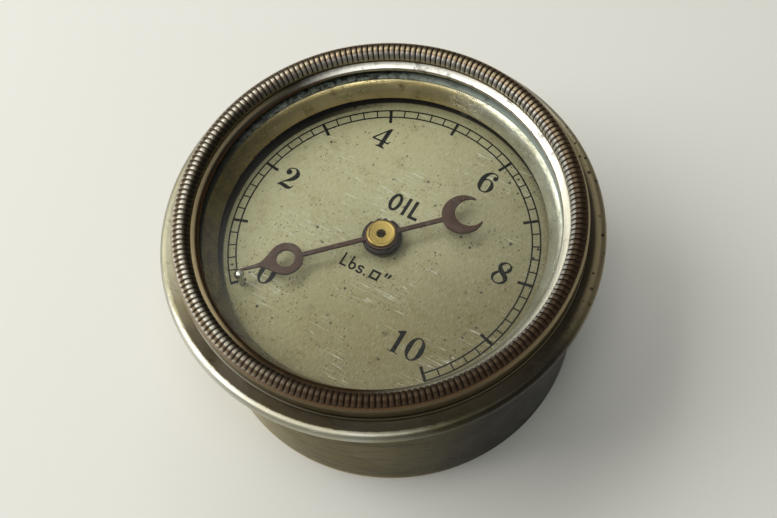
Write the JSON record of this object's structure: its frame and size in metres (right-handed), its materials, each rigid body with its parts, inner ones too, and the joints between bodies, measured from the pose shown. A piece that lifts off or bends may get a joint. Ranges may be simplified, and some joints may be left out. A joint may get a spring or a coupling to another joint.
{
  "type": "pressure gauge",
  "caption": "Round panel-mounted oil pressure gauge: milled screw bezel, flat glass, silvered dial, eye pointer, geared movement and curved pressure tube in a flanged case.",
  "frame": {"origin": "centre of the rear rim, on the axis of the case, where the gauge stands", "axes": "+Z out of the dial along the case axis, +Y towards 12 o'clock on the dial, +X towards 3 o'clock"},
  "size_m": [0.0594, 0.0594, 0.0304],
  "materials": {
    "case_metal": "worn nickel plate over brass, olive and brown",
    "bezel_metal": "oxidised brown, nickel left on the ribs",
    "reflector_metal": "nickel plated, pitted and yellowed",
    "brass": "turned and stamped brass",
    "hub_brass": "polished brass",
    "tube_bronze": "drawn bronze",
    "fibre": "red fibre",
    "steel": "turned steel",
    "spring_steel": "spring strip",
    "dial_silver": "silvered and aged",
    "pin_metal": "bright nickel",
    "pointer_steel": "browned steel",
    "collar_steel": "dark steel",
    "gasket": "cork and rubber",
    "glass": "clear flat glass"
  },
  "bodies": {
    "case": {"case_shell": "case_metal", "flange_ring": "case_metal", "back_plate": "brass", "tube_socket": "brass", "back_nut": "brass", "nut_washer": "fibre", "socket_screws": "steel", "bourdon_tube": "tube_bronze", "movement_base": "brass", "movement_cock": "brass", "pillars": "brass", "pillar_screws": "steel", "movement_screws": "steel", "hairspring": "spring_steel", "hairspring_stud": "brass", "dial": "dial_silver", "dial_screws": "steel", "stop_pin": "pin_metal", "reflector_ring": "reflector_metal", "glass_gasket": "gasket"},
    "quadrant": {"quadrant": "brass", "quadrant_arbor": "steel", "quadrant_pin": "steel"},
    "spindle": {"spindle": "steel", "pinion": "brass", "hairspring_collet": "brass", "pointer": "pointer_steel", "hub_collar": "collar_steel", "pointer_bush": "hub_brass"},
    "link": {"link": "steel"},
    "tube_tip": {"tube_end": "brass", "end_pin": "steel"},
    "glass": {"glass": "glass"},
    "bezel": {"bezel": "bezel_metal"}
  },
  "joints": [
    {"name": "quadrant_swing", "type": "hinge", "parent": "case", "child": "quadrant", "pos_m": [0.0135, 0, 0.015], "axis": [0, 0, 1], "range_deg": [0, 33.55], "stiffness_Nm_per_rad": 0.0005},
    {"name": "pointer_turn", "type": "hinge", "parent": "case", "child": "spindle", "pos_m": [0, 0, 0.02], "axis": [0, 0, 1], "range_deg": [-268.52, 0], "deforming": ["hairspring"]},
    {"name": "link_swing", "type": "hinge", "parent": "quadrant", "child": "link", "pos_m": [0.01752, -0.00121, 0.016], "axis": [0, 0, 1], "range_deg": [-22.5, 0]},
    {"name": "tube_tip_swing", "type": "hinge", "parent": "case", "child": "tube_tip", "pos_m": [-0.00293, 0.00628, 0.0157], "axis": [0, 0, 1], "range_deg": [0, 7], "deforming": ["bourdon_tube"]},
    {"name": "glass_lift", "type": "slide", "parent": "case", "child": "glass", "axis": [0, 0, 1], "range_m": [0, 0.00128]},
    {"name": "bezel_unscrew", "type": "hinge", "parent": "glass", "child": "bezel", "pos_m": [0, 0, 0.029], "axis": [0, 0, 1], "range_deg": [0, 720]}
  ],
  "couplings": [
    {"joint": "pointer_turn", "follows": "quadrant_swing", "ratio": -8},
    {"joint": "link_swing", "follows": "quadrant_swing", "ratio": -0.6603},
    {"joint": "tube_tip_swing", "follows": "quadrant_swing", "ratio": 0.2018},
    {"joint": "glass_lift", "follows": "bezel_unscrew", "m_per_rad": 0.00010106}
  ]
}
